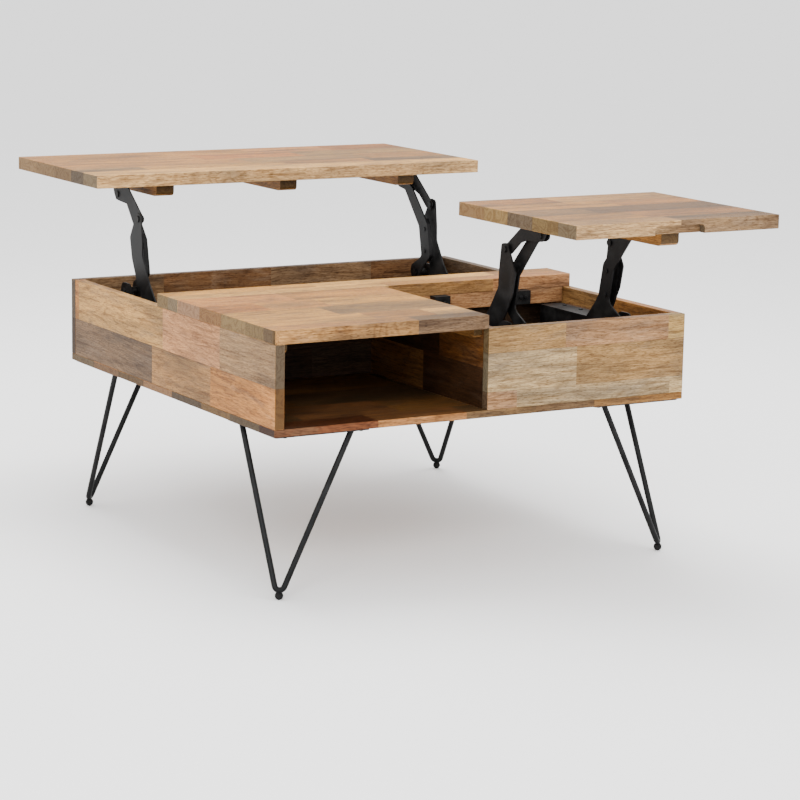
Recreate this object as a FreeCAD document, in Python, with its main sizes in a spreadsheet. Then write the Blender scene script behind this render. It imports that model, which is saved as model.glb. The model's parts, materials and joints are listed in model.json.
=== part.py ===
"""Square coffee table with two lift-top lids on hairpin legs.

Frame: origin on the floor at the table's centre, X to the right, Y to the back, Z up, millimetres.
The lids are modelled fully raised. Each lid is carried by a left and a right lift, a parallelogram of
a leading and a trailing arm. A lift is drawn in its own frame: X is the
distance from the wall it hangs on, Y the direction in which the lid travels as it opens, measured
from the raised trailing pivot, and Z the height above the floor. Outlines drawn in that frame are
lists of (travel, height, corner radius).
"""

import FreeCAD, Part
import math
import os
import Sketcher
from FreeCAD import Placement, Rotation, Vector

DIMENSIONS = (
    # box
    ("table_width", 914, "outside of the square box, and of the closed tops"),
    ("box_bottom", 313, "underside of the bottom board above the floor"),
    ("bottom_board", 14, "thickness of the bottom board"),
    ("wall_rise", 157, "height of the box walls above the bottom board"),
    ("wall_board", 20, "thickness of walls, divider and partition"),
    ("top_board", 26.5, "thickness of lids, rail and fixed top"),
    ("edge_ease", 0.8, "eased edge on every board"),
    # top layout, front to back
    ("rail_front", 52, "front edge of the rail, ahead of the table's centre"),
    ("rail_back", 40, "back edge of the rail, behind the table's centre"),
    ("lid_gap", 2, "gap between a lid and the rail"),
    ("side_gap", 1, "gap between the small lid and the fixed top"),
    ("seat_gap", 0.5, "closed lid above the rim"),
    ("bearer_height", 32, "height of the bearer under the rail"),
    ("bearer_setback", 1, "bearer inside the rail's edges"),
    ("plan_corner", 12, "rounded front corner of the fixed top"),
    # battens and cleats
    ("batten_width", 40, "batten under a lid"),
    ("batten_height", 25, "batten under a lid"),
    ("batten_inset", 30, "batten end to lid edge"),
    ("batten_spacing", 290, "between battens of the large lid"),
    ("batten_round", 10, "rounded lower end of a batten"),
    ("cleat_width", 18, "cubby cleat"),
    ("cleat_height", 21, "cubby cleat"),
    ("cleat_length", 380, "cubby cleat"),
    ("block_width", 44, "ledge that a lift's bracket is screwed to"),
    ("block_height", 32, "ledge that a lift's bracket is screwed to"),
    # finger notch of the small lid
    ("notch_length", 112, "finger notch, along the edge"),
    ("notch_height", 17, "finger notch, up from the underside"),
    ("notch_depth", 16, "finger notch, into the edge"),
    ("notch_round", 8, "finger notch, rounded upper corners"),
    # legs
    ("rod_radius", 5.6, "hairpin rod"),
    ("rod_bend", 10, "bend of the rod at the foot, on its centre line"),
    ("rod_low", 18.5, "lowest point of the rod's centre line"),
    ("rod_reach", 141, "how far each rod spreads from foot to plate"),
    ("foot_inset", 27, "foot centre from the table's edges"),
    ("foot_radius", 8, "ball foot"),
    ("leg_plate", 3, "thickness of a leg's corner plate"),
    ("leg_plate_side", 198, "side of a leg's corner plate"),
    ("leg_plate_inset", 6, "corner plate to table edge"),
    # lift linkage
    ("arm_length", 208, "pivot to pivot, both arms"),
    ("open_angle", 69, "arms above the horizontal with the lid raised"),
    ("swing_angle", 113, "how far the arms turn to close the lid"),
    ("pivot_drop", 69, "trailing pivot below the lid"),
    ("pivot_spread", 114, "leading pivot ahead of the trailing pivot"),
    ("pivot_rise", 40, "leading pivot above the trailing pivot"),
    ("lift_centre", 346, "raised trailing pivot from the table's centre"),
    # lift plates, measured from the wall
    ("steel_plate", 2.5, "angle brackets"),
    ("arm_plate", 3, "arms"),
    ("flange_start", 20, "outer edge of the base bracket's flange"),
    ("web_start", 68, "web of the base bracket"),
    ("trailing_start", 81, "trailing arm"),
    ("ear_start", 87, "upright leg of the lid bracket"),
    ("leading_flange_start", 90.3, "folded edge of the leading arm"),
    ("leading_start", 96.5, "face of the leading arm"),
    ("rivet_height", 1.5, "rivet heads on the leading arm"),
    ("rivet_radius", 5, "rivet heads on the leading arm"),
    ("lid_flange_start", 46, "outer edge of the lid bracket's flange"),
    ("bracket_back", 270, "base bracket behind the raised trailing pivot"),
    ("bracket_front", 72, "base bracket ahead of the raised trailing pivot"),
    ("bracket_depth", 64, "height of the base bracket's web"),
    ("flange_front", 232, "front end of the lid bracket's flange"),
    ("flange_rear", 78, "rear end of the lid bracket's flange"),
    # pivots and springs
    ("pin_radius", 4, "pivot pins"),
    ("pin_head", 7, "radius of pin heads and spacers"),
    ("shaft_radius", 6, "crank shaft"),
    ("running_gap", 0.05, "radial clearance of a running fit"),
    ("open_pivot_gap", 0.6, "radial clearance of the trailing arm on its top pin"),
    ("side_play", 0.3, "play between an arm and the heads beside it"),
    ("head_height", 2.5, "height of a pin head"),
    ("crank_start", 61, "crank of the shaft"),
    ("crank_plate", 4, "thickness of the crank"),
    ("crank_radius", 25, "crank shaft to crank pin"),
    ("rod_plate_start", 53, "slotted eye of the pull rod"),
    ("rod_plate", 5, "thickness of the slotted eye"),
    ("crank_edge", 9, "crank pin or shaft to the crank's outline"),
    ("hub_radius", 9, "collar and head of the crank shaft"),
    ("slot_play", 2, "eye slot around the crank pin"),
    ("eye_wall", 5, "pull rod's eye around its slot"),
    ("spring_radius", 8, "outside of the lift spring"),
    ("spring_wire", 2.2, "wire of the lift spring"),
    ("spring_anchor", 238, "spring anchor behind the raised trailing pivot"),
    ("spring_front", 135, "front end of the relaxed spring, same measure"),
    # small steel
    ("rest_length", 36, "lid rest bracket"),
    ("rest_height", 28, "lid rest bracket"),
    ("rest_block", 18, "wooden block behind the lid rest bracket"),
    ("rest_plate", 3, "lid rest bracket"),
    ("rest_screw_reach", 5.5, "lid rest screw to the middle of its bracket"),
    ("screw_radius", 2, "wood screw shank"),
    ("screw_head", 4.5, "wood screw head radius"),
    ("screw_head_height", 2.6, "wood screw head height"),
    ("screw_length", 12, "wood screw shank below the head"),
    ("screw_crown", 1.56, "rounding of the wood screw's head"),
    ("bracket_screw_inset", 14, "base bracket's screws from the flange's edge"),
    ("lid_screw_inset", 15, "lid bracket's screws from the flange's edge"),
    ("flange_round", 3, "corners of the brackets' flanges"),
    ("plate_round", 5, "corners of a leg's corner plate"),
)

document = FreeCAD.newDocument("lift_top_coffee_table")
sheet = document.addObject("Spreadsheet::Sheet", "Dimensions")
for row, (alias, number, meaning) in enumerate(DIMENSIONS, start=1):
    sheet.set(f"A{row}", meaning)
    sheet.set(f"B{row}", str(number))
    sheet.setAlias(f"B{row}", alias)
document.recompute()

SUBPARTS = []
UP = Vector(0, 0, 1)


def size(alias):
    """The number in one cell of the sheet."""
    return float(getattr(sheet, alias))


def cell(alias):
    """The same cell as an expression."""
    return "Dimensions." + alias


# ---- places worked out from the driving dimensions

HALF = size("table_width") / 2
INSIDE = HALF - size("wall_board")
PARTITION_HALF = size("wall_board") / 2
FLOOR_TOP = size("box_bottom") + size("bottom_board")
RIM = FLOOR_TOP + size("wall_rise")
BEARER_LOW = RIM - size("bearer_height")
BEARER_FRONT = -size("rail_front") + size("bearer_setback")
SMALL_DEPTH = HALF - size("rail_front") - size("lid_gap")
LARGE_DEPTH = HALF - size("rail_back") - size("lid_gap")
SMALL_WIDTH = HALF - size("side_gap") / 2
OPEN = math.radians(size("open_angle"))
CLOSED = math.radians(size("open_angle") + size("swing_angle"))
LID_TRAVEL = size("arm_length") * (math.cos(OPEN) - math.cos(CLOSED))
LID_RISE = size("arm_length") * (math.sin(OPEN) - math.sin(CLOSED))
LID_LOW = RIM + size("seat_gap") + LID_RISE
SMALL_FRONT = -HALF - LID_TRAVEL
LARGE_FRONT = size("rail_back") + size("lid_gap") + LID_TRAVEL

# pivots in a lift's frame, as (travel, height)
TRAILING_TOP = (0.0, LID_LOW - size("pivot_drop"))
TRAILING_BASE = (
    TRAILING_TOP[0] - size("arm_length") * math.cos(OPEN),
    TRAILING_TOP[1] - size("arm_length") * math.sin(OPEN),
)
LEADING_TOP = (size("pivot_spread"), TRAILING_TOP[1] + size("pivot_rise"))
LEADING_BASE = (TRAILING_BASE[0] + size("pivot_spread"), TRAILING_BASE[1] + size("pivot_rise"))

# the crank pin swings evenly to both sides of straight down
CRANK_OPEN = math.radians(270 - size("swing_angle") / 2)
CRANK_PIN = (
    TRAILING_BASE[0] + size("crank_radius") * math.cos(CRANK_OPEN),
    TRAILING_BASE[1] + size("crank_radius") * math.sin(CRANK_OPEN),
)
SPRING_LEVEL = (CRANK_PIN[1] + TRAILING_BASE[1] - size("crank_radius")) / 2
BLOCK_TOP = BEARER_LOW
BRACKET_TOP = BLOCK_TOP + size("steel_plate")
BRACKET_SCREWS = (-235, -175, -20, 30)
BRACKET_SCREW_LINE = size("flange_start") + size("bracket_screw_inset")
LID_SCREWS = (100, 155, 210)
LID_SCREW_LINE = size("lid_flange_start") + size("lid_screw_inset")


# ---- drawing helpers

def keep(feature, label):
    """Names a finished sub-part; the label becomes its file name."""
    feature.Label = label
    SUBPARTS.append(feature)
    return feature


def new_body(name):
    return document.addObject("PartDesign::Body", name)


def new_sketch(body, name, role, offset=0.0):
    """An empty sketch on one of the body's origin planes, moved along that plane's normal."""
    sketch = body.newObject("Sketcher::SketchObject", name)
    plane = next(plane for plane in body.Origin.OriginFeatures if plane.Role == role)
    sketch.AttachmentSupport = [(plane, "")]
    sketch.MapMode = "FlatFace"
    sketch.AttachmentOffset = Placement(Vector(0, 0, offset), Rotation())
    return sketch


def draw_rectangle(sketch, width, height):
    """A rectangle from the sketch's origin; width and height are expressions."""
    corners = [Vector(0, 0, 0), Vector(10, 0, 0), Vector(10, 10, 0), Vector(0, 10, 0)]
    for start, end in zip(corners, corners[1:] + corners[:1]):
        sketch.addGeometry(Part.LineSegment(start, end), False)
    for edge in range(4):
        sketch.addConstraint(Sketcher.Constraint("Coincident", edge, 2, (edge + 1) % 4, 1))
    for edge in (0, 2):
        sketch.addConstraint(Sketcher.Constraint("Horizontal", edge))
    for edge in (1, 3):
        sketch.addConstraint(Sketcher.Constraint("Vertical", edge))
    sketch.addConstraint(Sketcher.Constraint("Coincident", 0, 1, -1, 1))
    for edge, kind, name, amount in ((0, "DistanceX", "width", width), (1, "DistanceY", "height", height)):
        index = sketch.addConstraint(Sketcher.Constraint(kind, edge, 1, edge, 2, 10.0))
        sketch.renameConstraint(index, name)
        sketch.setExpression("Constraints." + name, amount)


def outline_edges(corners):
    """Lines and arcs of a closed outline in the XY plane; each corner is (x, y, radius)."""
    count = len(corners)
    edges = []
    ends = []
    for index in range(count):
        corner = Vector(corners[index][0], corners[index][1], 0)
        radius = corners[index][2]
        before = Vector(*corners[index - 1][:2], 0) - corner
        after = Vector(*corners[(index + 1) % count][:2], 0) - corner
        if radius <= 0:
            ends.append((corner, corner))
            continue
        half_turn = before.getAngle(after) / 2
        before.normalize()
        after.normalize()
        reach = radius / math.tan(half_turn)
        start = corner + before * reach
        end = corner + after * reach
        inward = (before + after).normalize()
        middle = corner + inward * (radius / math.sin(half_turn) - radius)
        edges.append(Part.Arc(start, middle, end))
        ends.append((start, end))
    for index in range(count):
        start = ends[index][1]
        end = ends[(index + 1) % count][0]
        if start.distanceToPoint(end) > 0.001:
            edges.append(Part.LineSegment(start, end))
    return edges


def draw_outline(sketch, corners):
    for edge in outline_edges(corners):
        sketch.addGeometry(edge, False)


def draw_circles(sketch, centres, radius):
    for x, y in centres:
        sketch.addGeometry(Part.Circle(Vector(x, y, 0), UP, radius), False)


def pad(body, sketch, name, length):
    feature = body.newObject("PartDesign::Pad", name)
    feature.Profile = sketch
    feature.setExpression("Length", length)
    return feature


def pocket(body, sketch, name, length, reversed_cut=False):
    """Cuts a sketch into the body and makes sure that material really went."""
    document.recompute()
    before = body.Shape.Volume
    feature = body.newObject("PartDesign::Pocket", name)
    feature.Profile = sketch
    feature.setExpression("Length", length)
    feature.Reversed = reversed_cut
    document.recompute()
    if body.Shape.Volume >= before:
        raise RuntimeError(name + " cut nothing")


def ease_edges(body, base, name):
    """Eases every edge of a plain board."""
    document.recompute()
    feature = body.newObject("PartDesign::Chamfer", name)
    feature.Base = (base, [f"Edge{number + 1}" for number in range(len(base.Shape.Edges))])
    feature.setExpression("Size", cell("edge_ease"))


def place(feature, x, y, z, turn=0.0):
    feature.Placement = Placement(Vector(x, y, z), Rotation(UP, turn))


def board(label, low, width, depth, height):
    """A plain board: low corner in numbers, its three sizes as expressions."""
    body = new_body(label)
    sketch = new_sketch(body, label + "_outline", "XY_Plane")
    draw_rectangle(sketch, width, depth)
    base = pad(body, sketch, label + "_pad", height)
    ease_edges(body, base, label + "_eased")
    place(body, *low)
    return keep(body, label)


def top_piece(label, low, width, depth, corner_radii):
    """A board of the table top; corner radii run from the front left corner anticlockwise."""
    body = new_body(label)
    sketch = new_sketch(body, label + "_outline", "XY_Plane")
    corners = ((0, 0), (width, 0), (width, depth), (0, depth))
    draw_outline(sketch, [(x, y, radius) for (x, y), radius in zip(corners, corner_radii)])
    base = pad(body, sketch, label + "_pad", cell("top_board"))
    ease_edges(body, base, label + "_eased")
    place(body, *low)
    return keep(body, label)


def drill(body, role, offset, centres, radius, depth, reversed_cut=False):
    """Round holes, all the same, from a plane of the body."""
    name = f"{body.Name}_holes_{len(body.Group)}"
    sketch = new_sketch(body, name, role, offset)
    draw_circles(sketch, centres, radius)
    pocket(body, sketch, name + "_cut", depth, reversed_cut)


def group(label, shapes):
    """Identical small pieces that share one node."""
    feature = document.addObject("Part::Feature", label)
    feature.Shape = Part.makeCompound(shapes)
    return keep(feature, label)


def bar(radius, start, end):
    """A round bar from start to end."""
    axis = end - start
    return Part.makeCylinder(radius, axis.Length, start, axis)


def box_between(low, high):
    spans = [high[axis] - low[axis] for axis in range(3)]
    return Part.makeBox(*spans, Vector(*low))


def prism(corners, thickness):
    """A solid drawn in the XY plane and raised by its thickness."""
    wire = Part.Wire(Part.__sortEdges__([edge.toShape() for edge in outline_edges(corners)]))
    return Part.Face(wire).extrude(Vector(0, 0, thickness))


def pan_screw(seat, direction):
    """Pan-head wood screw: seat is where the head rests, direction runs into the wood."""
    crown = seat - direction * size("screw_head_height")
    head = bar(size("screw_head"), seat, crown)
    crown_edges = [
        edge for edge in head.Edges
        if edge.isClosed() and (edge.CenterOfMass - crown).Length < 0.01
    ]
    head = head.makeFillet(size("screw_crown"), crown_edges)
    return head.fuse(bar(size("screw_radius"), seat, seat + direction * size("screw_length")))


# cuts run this far past the faces they open
OVERCUT = 1

SCREW_HOLE = size("screw_radius") + size("running_gap")
SCREW_HOLE_DEPTH = cell("screw_length") + " + 0.5"


# ---- the box

def corner_frame(turn):
    """Placement of a leg's own frame: X and Y run inwards from one corner of the table."""
    turned = Rotation(UP, turn)
    return Placement(turned.multVec(Vector(-HALF, -HALF, 0)), turned)


LEG_TURNS = (0, 90, 180, 270)
LEG_NAMES = ("front_left", "front_right", "back_right", "back_left")
PLATE_SCREWS = ((30, 16), (190, 16), (16, 190), (90, 90))


def bottom_board():
    body = board(
        "bottom_board", (-HALF, -HALF, size("box_bottom")),
        cell("table_width"), cell("table_width"), cell("bottom_board"),
    )
    centres = []
    for turn in LEG_TURNS:
        for x, y in PLATE_SCREWS:
            spot = corner_frame(turn).multVec(Vector(x, y, 0))
            centres.append((spot.x + HALF, spot.y + HALF))
    drill(body, "XY_Plane", 0, centres, SCREW_HOLE, SCREW_HOLE_DEPTH + " - " + cell("leg_plate"), True)


def box_walls():
    width = cell("table_width")
    wall = cell("wall_board")
    rise = cell("wall_rise")
    between_walls = f"{width} - 2 * {wall}"
    board("left_side_panel", (-HALF, -HALF, FLOOR_TOP), wall, f"{width} - {wall}", rise)
    board("right_side_panel", (INSIDE, -INSIDE, FLOOR_TOP), wall, between_walls, rise)
    board("back_panel", (-HALF, INSIDE, FLOOR_TOP), width, wall, rise)
    board("front_panel", (0, -HALF, FLOOR_TOP), f"{width} / 2", wall, rise)
    board("centre_partition", (-INSIDE, -PARTITION_HALF, FLOOR_TOP), between_walls, wall,
          f"{rise} - {cell('bearer_height')}")


def cubby_divider():
    """The wall between cubby and small compartment, notched under the rail's bearer."""
    body = new_body("cubby_divider")
    sketch = new_sketch(body, "cubby_divider_outline", "YZ_Plane")
    draw_outline(sketch, [
        (-INSIDE, FLOOR_TOP, 0),
        (-PARTITION_HALF, FLOOR_TOP, 0),
        (-PARTITION_HALF, BEARER_LOW, 0),
        (BEARER_FRONT, BEARER_LOW, 0),
        (BEARER_FRONT, RIM, 0),
        (-INSIDE, RIM, 0),
    ])
    pad(body, sketch, "cubby_divider_pad", cell("wall_board"))
    keep(body, "cubby_divider")


def rail():
    board(
        "rail_bearer", (-INSIDE, BEARER_FRONT, BEARER_LOW),
        f"{cell('table_width')} - 2 * {cell('wall_board')}",
        f"{cell('rail_front')} + {cell('rail_back')} - 2 * {cell('bearer_setback')}",
        cell("bearer_height"),
    )
    top_piece(
        "rail_top", (-HALF, -size("rail_front"), RIM), 2 * HALF,
        size("rail_front") + size("rail_back"), (0, size("plan_corner") / 2, 0, 0),
    )


def fixed_top():
    top_piece(
        "fixed_top", (-HALF, -HALF, RIM), SMALL_WIDTH, HALF - size("rail_front"),
        (size("plan_corner"), 0, 0, 0),
    )


def cubby_cleats():
    """Two cleats under the fixed top, against the left side and against the divider."""
    low = RIM - size("cleat_height")
    front = BEARER_FRONT - size("cleat_length")
    corners = [
        (front, low, size("batten_round")),
        (BEARER_FRONT, low, 0),
        (BEARER_FRONT, RIM, 0),
        (front, RIM, 0),
    ]
    group("cubby_cleats", [
        upright(corners, left, size("cleat_width")) for left in (-INSIDE, -size("cleat_width"))
    ])


def upright(corners, start, thickness):
    """A solid drawn as (y, z) outline and extruded along X from start."""
    solid = prism(corners, thickness)
    solid.Placement = Placement(
        Vector(start, 0, 0), Rotation(Vector(0, 1, 0), Vector(0, 0, 1), Vector(1, 0, 0), "ZXY"),
    )
    return solid


# ---- lids

def small_lid():
    body = top_piece(
        "small_lid", (HALF - SMALL_WIDTH, SMALL_FRONT, LID_LOW), SMALL_WIDTH, SMALL_DEPTH, (0, 0, 0, 0),
    )
    notch = new_sketch(body, "small_lid_notch", "XZ_Plane")
    left = (SMALL_WIDTH - size("notch_length")) / 2
    right = left + size("notch_length")
    draw_outline(notch, [
        (left, -OVERCUT, 0),
        (right, -OVERCUT, 0),
        (right, size("notch_height"), size("notch_round")),
        (left, size("notch_height"), size("notch_round")),
    ])
    pocket(body, notch, "small_lid_notch_cut", cell("notch_depth"))
    drill_lid(body, "small")


def large_lid():
    body = top_piece("large_lid", (-HALF, LARGE_FRONT, LID_LOW), 2 * HALF, LARGE_DEPTH, (0, 0, 0, 0))
    drill_lid(body, "large")


def drill_lid(body, lid):
    """Pilot holes over the lid brackets of both lifts."""
    centres = []
    for side in SIDES:
        for spot in lid_screw_seats(lid, side):
            centres.append((spot.x - body.Placement.Base.x, spot.y - body.Placement.Base.y))
    drill(body, "XY_Plane", 0, centres, SCREW_HOLE, SCREW_HOLE_DEPTH, True)


def batten_shape(centre, front, back):
    corners = [
        (front, LID_LOW - size("batten_height"), size("batten_round")),
        (back, LID_LOW - size("batten_height"), size("batten_round")),
        (back, LID_LOW, 0),
        (front, LID_LOW, 0),
    ]
    return upright(corners, centre - size("batten_width") / 2, size("batten_width"))


def lid_battens():
    """Three battens under the large lid and one under the small lid."""
    inset = size("batten_inset")
    large = [
        batten_shape(step * size("batten_spacing"), LARGE_FRONT + inset, LARGE_FRONT + LARGE_DEPTH - inset)
        for step in (-1, 0, 1)
    ]
    group("large_lid_battens", large)
    group("small_lid_batten", [
        batten_shape(HALF / 2, SMALL_FRONT + inset, SMALL_FRONT + SMALL_DEPTH - inset),
    ])


# ---- legs

def leg_plate(name, turn):
    """Corner plate with the screw holes."""
    side = size("leg_plate_side")
    arm = size("foot_inset")
    label = "leg_plate_" + name
    body = new_body(label)
    sketch = new_sketch(body, label + "_outline", "XY_Plane")
    low = size("leg_plate_inset")
    high = low + side
    corners = ((low, low), (high, low), (high, low + arm), (low + arm, high), (low, high))
    draw_outline(sketch, [(x, y, size("plate_round")) for x, y in corners])
    pad(body, sketch, label + "_pad", cell("leg_plate"))
    drill(body, "XY_Plane", 0, PLATE_SCREWS, SCREW_HOLE, cell("leg_plate"), True)
    frame = corner_frame(turn)
    place(body, frame.Base.x, frame.Base.y, size("box_bottom") - size("leg_plate"), turn)
    keep(body, label)


def rod_shape():
    """One rod bent to a V at the foot, both ends cut level under the corner plate."""
    foot = size("foot_inset")
    top = size("box_bottom") - size("leg_plate")
    low = Vector(foot, foot, size("rod_low"))
    bend = size("rod_bend")
    steep = Vector(size("rod_reach"), 0, top - size("rod_low")).normalize()
    other = Vector(0, size("rod_reach"), top - size("rod_low")).normalize()
    half_turn = steep.getAngle(other) / 2
    middle_line = (steep + other).normalize()
    # the bend swings below the point where the two straight centre lines would meet
    meeting = low - middle_line * (bend / math.sin(half_turn) - bend)
    start = meeting + steep * (bend / math.tan(half_turn))
    end = meeting + other * (bend / math.tan(half_turn))
    beyond = (top - size("rod_low")) * 1.1
    first = Part.LineSegment(meeting + steep * (beyond / steep.z), start).toShape()
    arc = Part.Arc(start, low, end).toShape()
    second = Part.LineSegment(end, meeting + other * (beyond / other.z)).toShape()
    path = Part.Wire([first, arc, second])
    profile = Part.Wire(Part.makeCircle(size("rod_radius"), first.Vertexes[0].Point, steep))
    rod = path.makePipeShell([profile], True, False)
    slab = box_between((-HALF, -HALF, 0), (HALF, HALF, top))
    return rod.common(slab).Solids[0]


def legs():
    rod = rod_shape()
    foot_centre = Vector(size("foot_inset"), size("foot_inset"), size("foot_radius"))
    foot = Part.makeSphere(size("foot_radius"), foot_centre).cut(rod)
    for name, turn in zip(LEG_NAMES, LEG_TURNS):
        leg_plate(name, turn)
        for label, shape in (("hairpin_rod_", rod), ("foot_", foot)):
            feature = document.addObject("Part::Feature", label + name)
            feature.Shape = shape
            feature.Placement = corner_frame(turn)
            keep(feature, label + name)
    screws = []
    for turn in LEG_TURNS:
        for x, y in PLATE_SCREWS:
            spot = corner_frame(turn).multVec(Vector(x, y, size("box_bottom") - size("leg_plate")))
            screws.append(pan_screw(spot, UP))
    group("leg_screws", screws)


# ---- lid rests on the front of the bearer

REST_CENTRES = (131, 326)
REST_LOW = RIM - size("rest_height")
REST_FACE = BEARER_FRONT - size("rest_block")
REST_FRONT = REST_FACE - size("rest_plate")
REST_SEATS = [
    Vector(centre + step * size("rest_screw_reach"), REST_FRONT, (REST_LOW + RIM) / 2)
    for centre in REST_CENTRES for step in (-1, 1)
]
BACKWARDS = Vector(0, 1, 0)


def lid_rests():
    """Two blocks capped by angle brackets, which carry the closed small lid's back edge."""
    plate = size("rest_plate")
    blocks = []
    brackets = []
    for centre in REST_CENTRES:
        left = centre - size("rest_length") / 2
        right = centre + size("rest_length") / 2
        block = box_between((left, REST_FACE, REST_LOW), (right, BEARER_FRONT, RIM - plate))
        front = box_between((left, REST_FRONT, REST_LOW), (right, REST_FACE, RIM))
        shelf = box_between((left, REST_FRONT, RIM - plate), (right, BEARER_FRONT, RIM))
        bracket = front.fuse(shelf).removeSplitter()
        for seat in REST_SEATS:
            bore = bar(SCREW_HOLE, seat, seat + BACKWARDS * (plate + size("screw_length")))
            bracket = bracket.cut(bore)
            block = block.cut(bore)
        blocks.append(block)
        brackets.append(bracket)
    group("lid_rest_blocks", blocks)
    group("lid_rest_brackets", brackets)


def lid_rest_screws():
    return [pan_screw(seat, BACKWARDS) for seat in REST_SEATS]


# ---- lifts

SIDES = ("left", "right")


def lift_frame(lid, side):
    """Placement of a lift's own frame on the table."""
    if lid == "large":
        wall = {"left": -INSIDE, "right": INSIDE}[side]
        return Placement(Vector(wall, size("lift_centre"), 0), Rotation(UP, 0))
    wall = {"left": size("wall_board"), "right": INSIDE}[side]
    return Placement(Vector(wall, -size("lift_centre"), 0), Rotation(UP, 180))


def hand(lid, side):
    """1 where the lift's X runs away from the wall, -1 where it is drawn mirrored."""
    inward = {"left": 1, "right": -1}[side]
    return inward if lid == "large" else -inward


def across(way, start, thickness):
    """Low end, along the lift's X, of a plate that starts at this distance from the wall."""
    return start if way > 0 else -(start + thickness)


def plate_body(label, way, start, thickness, corners):
    """A lift plate drawn as (travel, height) outline; start and thickness are cell names."""
    body = new_body(label)
    offset = across(way, size(start), size(thickness))
    sketch = new_sketch(body, label + "_outline", "YZ_Plane", offset)
    draw_outline(sketch, corners)
    pad(body, sketch, label + "_plate", cell(thickness))
    return body


def add_flange(body, way, start, end, low, rear, front, thickness):
    """A level flange from start to end away from the wall."""
    name = body.Name + "_flange"
    sketch = new_sketch(body, name + "_outline", "XY_Plane", low)
    left = across(way, start, end - start)
    right = left + end - start
    corners = ((left, rear), (right, rear), (right, front), (left, front))
    draw_outline(sketch, [(x, y, size("flange_round")) for x, y in corners])
    pad(body, sketch, name + "_pad", thickness)


def finish_lift_plate(body, lid, side, label):
    frame = lift_frame(lid, side)
    angle = 0 if lid == "large" else 180
    place(body, frame.Base.x, frame.Base.y, 0, angle)
    keep(body, label)


def pivot_hole(body, way, centre, start, thickness, radius):
    offset = across(way, size(start), size(thickness))
    drill(body, "YZ_Plane", offset, [centre], radius, cell(thickness), True)


def base_bracket(lid, side):
    """Angle bracket screwed to the ledge, carrying both base pivots and the spring anchor."""
    way = hand(lid, side)
    label = f"{lid}_{side}_base_bracket"
    low = BRACKET_TOP - size("bracket_depth")
    lug = LEADING_BASE[1] + 18
    rear = -size("bracket_back")
    front = size("bracket_front")
    body = plate_body(label, way, "web_start", "steel_plate", [
        (rear, low + 22, 6),
        (rear + 60, low, 10),
        (TRAILING_BASE[0] + 24, low, 14),
        (front, BRACKET_TOP - 16, 8),
        (front, BRACKET_TOP, 4),
        (LEADING_BASE[0] + 20, BRACKET_TOP, 4),
        (LEADING_BASE[0] + 12, lug, 14),
        (LEADING_BASE[0] - 25, lug, 14),
        (LEADING_BASE[0] - 48, BRACKET_TOP, 10),
        (rear, BRACKET_TOP, 0),
    ])
    end = size("web_start") + size("steel_plate")
    add_flange(body, way, size("flange_start"), end, BLOCK_TOP, rear, front, cell("steel_plate"))
    running = size("running_gap")
    pivot_hole(body, way, TRAILING_BASE, "web_start", "steel_plate", size("shaft_radius") + running)
    for centre in (LEADING_BASE, (-size("spring_anchor"), SPRING_LEVEL)):
        pivot_hole(body, way, centre, "web_start", "steel_plate", size("pin_radius") + running)
    centres = [(way * BRACKET_SCREW_LINE, travel) for travel in BRACKET_SCREWS]
    drill(body, "XY_Plane", BLOCK_TOP, centres, SCREW_HOLE, cell("steel_plate"), True)
    finish_lift_plate(body, lid, side, label)


def trailing_arm(lid, side):
    """Flat pressed arm keyed to the crank shaft; its top eye is the linkage's open pivot."""
    way = hand(lid, side)
    label = f"{lid}_{side}_trailing_arm"
    base_s, base_z = TRAILING_BASE
    body = plate_body(label, way, "trailing_start", "arm_plate", [
        (-12, 627, 8),
        (9, 630, 9),
        (22, 606, 10),
        (40, 575, 8),
        (30, 531, 20),
        (7, 487, 14),
        (-23, 446, 14),
        (base_s + 20, base_z - 22, 18),
        (base_s - 23, base_z - 16, 16),
        (base_s - 17, base_z + 24, 16),
        (-52, 491, 24),
        (-20, 540, 14),
        (-19, 573, 12),
    ])
    pivot_hole(body, way, TRAILING_BASE, "trailing_start", "arm_plate",
               size("shaft_radius") + size("running_gap"))
    pivot_hole(body, way, TRAILING_TOP, "trailing_start", "arm_plate",
               size("pin_radius") + size("open_pivot_gap"))
    finish_lift_plate(body, lid, side, label)


LEADING_REAR_EDGE = (
    (22, 464, 6),
    (5, 480, 8),
    (-20, 504, 8),
    (-18, 518, 10),
    (-6, 575, 10),
    (13, 597, 8),
    (36, 622, 10),
    (60, 647, 10),
    (82, 660, 8),
)
RIVETS = ((6, 562), (4, 514))


def halfway(first, second):
    """A plain outline point in the middle of two corners."""
    return ((first[0] + second[0]) / 2, (first[1] + second[1]) / 2, 0)


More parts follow.
